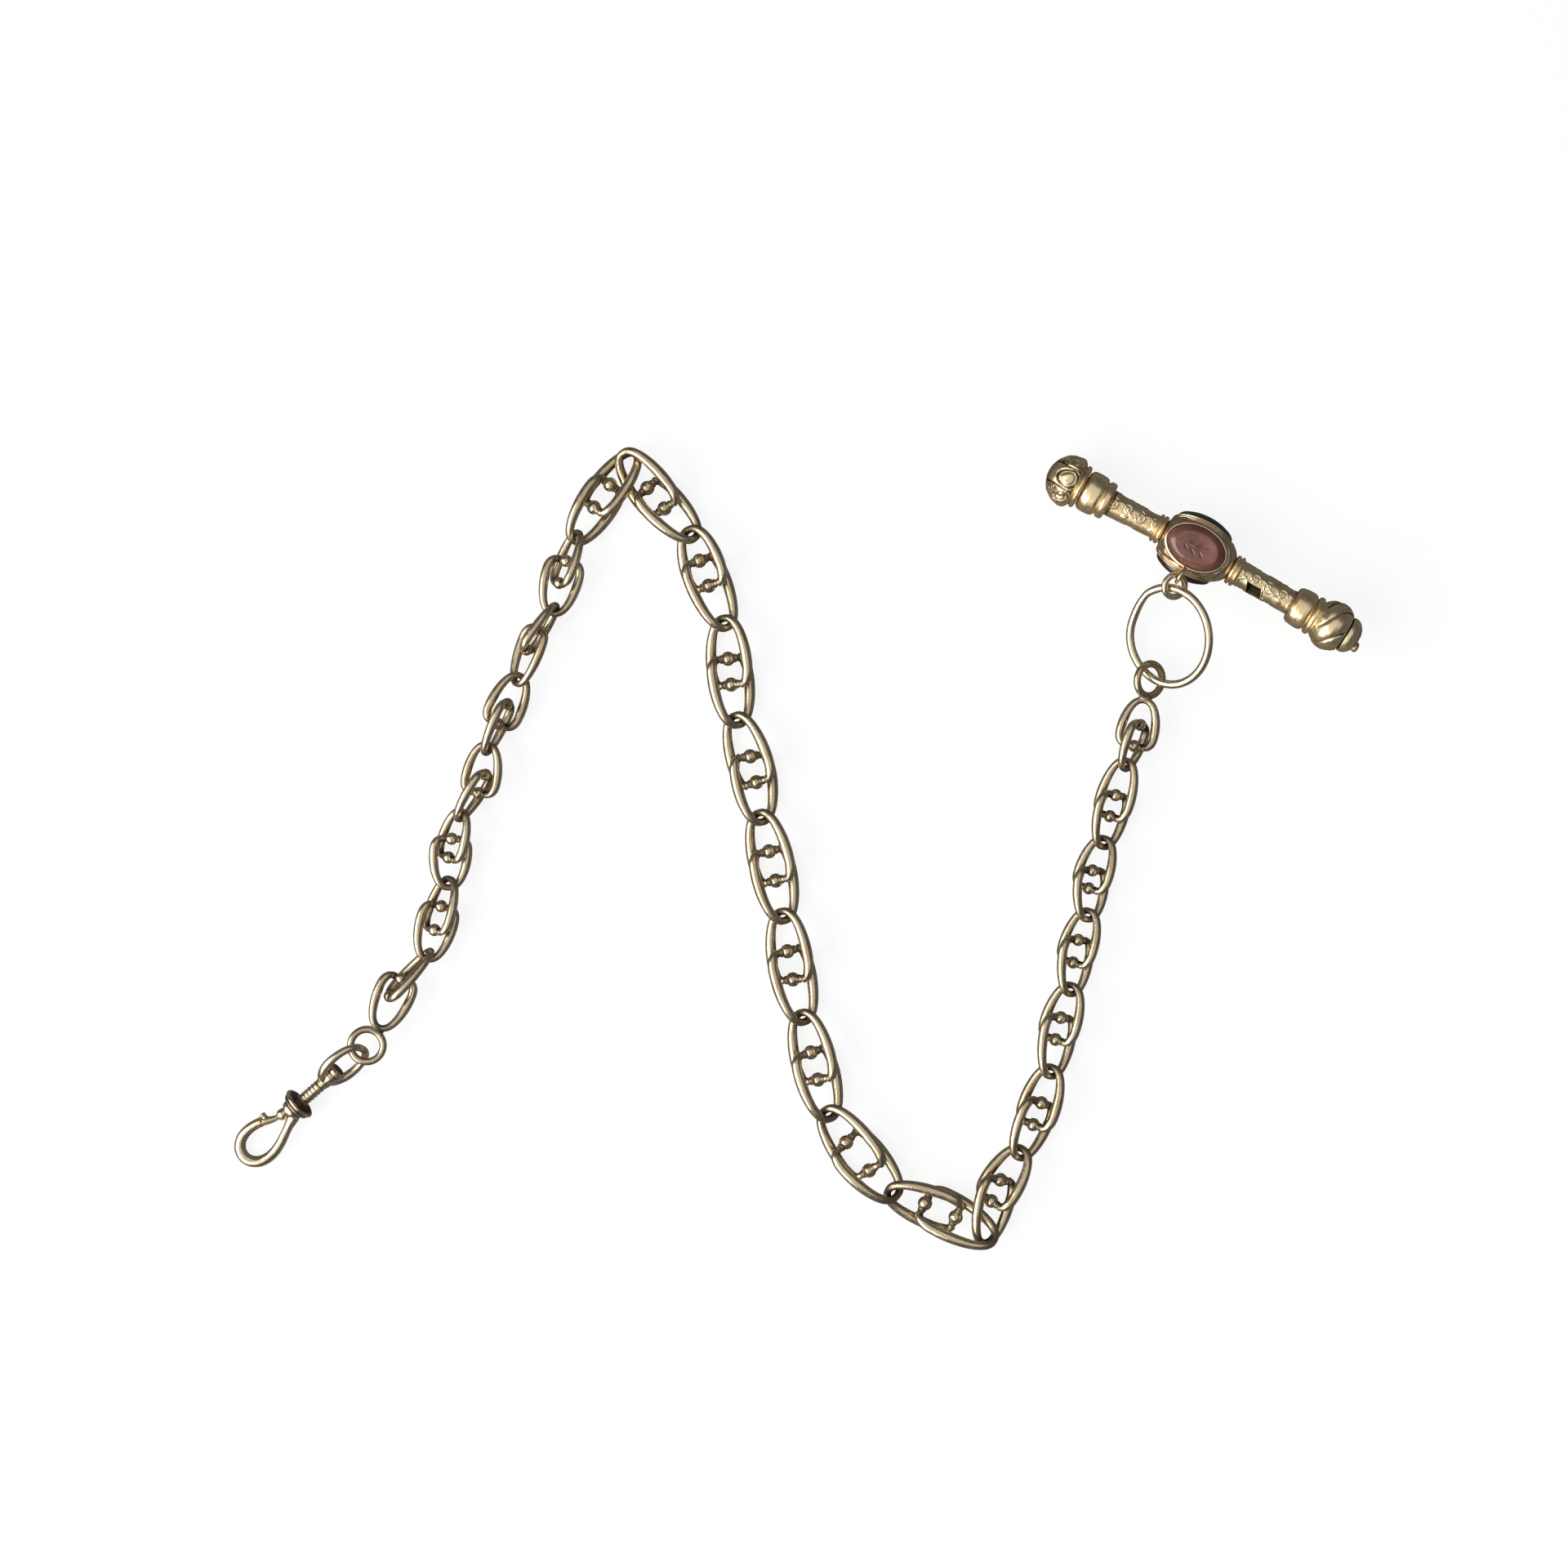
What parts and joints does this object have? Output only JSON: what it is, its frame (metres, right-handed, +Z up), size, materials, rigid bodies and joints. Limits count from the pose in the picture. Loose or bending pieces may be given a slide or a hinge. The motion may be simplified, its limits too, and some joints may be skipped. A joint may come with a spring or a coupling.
{
  "type": "watch chain",
  "caption": "Antique gold waistcoat watch chain of paired stirrup links, laid out in a zigzag, with a pear-shaped swivel clip and a toggle bar set with oval stones.",
  "frame": {"origin": "centre of the whole assembly's bounding box in plan, on the floor the chain lies on", "axes": "+Z up from the floor, +X along the longest side of the laid-out chain, from the clip's side to the toggle's side"},
  "size_m": [0.1643, 0.1168, 0.0095],
  "materials": {
    "chain_gold": "worn gold, softly polished, tarnish in the hollows",
    "clip_gold": "worn gold, softly polished",
    "ring_gold": "worn gold, softly polished",
    "toggle_gold": "yellow gold, engraved and bright on the high places",
    "carnelian": "polished red-brown agate",
    "bloodstone": "polished dark green agate",
    "onyx": "polished black agate"
  },
  "bodies": {
    "root": {"pair_00": "chain_gold", "pair_01": "chain_gold", "pair_02": "chain_gold", "pair_03": "chain_gold", "pair_04": "chain_gold", "pair_05": "chain_gold", "pair_06": "chain_gold", "pair_07": "chain_gold", "pair_08": "chain_gold", "pair_09": "chain_gold", "pair_10": "chain_gold", "pair_11": "chain_gold", "pair_12": "chain_gold", "pair_13": "chain_gold", "pair_14": "chain_gold", "pair_15": "chain_gold", "pair_16": "chain_gold", "pair_17": "chain_gold", "pair_18": "chain_gold", "pair_19": "chain_gold", "pair_20": "chain_gold", "pair_21": "chain_gold", "pair_22": "chain_gold", "pair_23": "chain_gold", "swivel_eye": "chain_gold", "split_ring": "ring_gold", "jump_ring": "ring_gold", "finial_left": "toggle_gold", "tube_left": "toggle_gold", "seal_setting": "toggle_gold", "stone_carnelian": "carnelian", "stone_bloodstone": "bloodstone", "stone_onyx": "onyx", "tube_right": "toggle_gold", "finial_right": "toggle_gold"},
    "clip": {"clip_body": "clip_gold"},
    "gate": {"clip_gate": "clip_gold"}
  },
  "joints": [
    {"name": "clip_swivel", "type": "hinge", "parent": "root", "child": "clip", "pos_m": [-0.06865, -0.0333, 0.00327], "axis": [-0.7474, -0.6497, -0.1392], "continuous": true},
    {"name": "gate_hinge", "type": "hinge", "parent": "clip", "child": "gate", "pos_m": [-0.0753, -0.03848, 0.00209], "axis": [-0.105, -0.0913, 0.9903], "range_deg": [0, 28]}
  ]
}
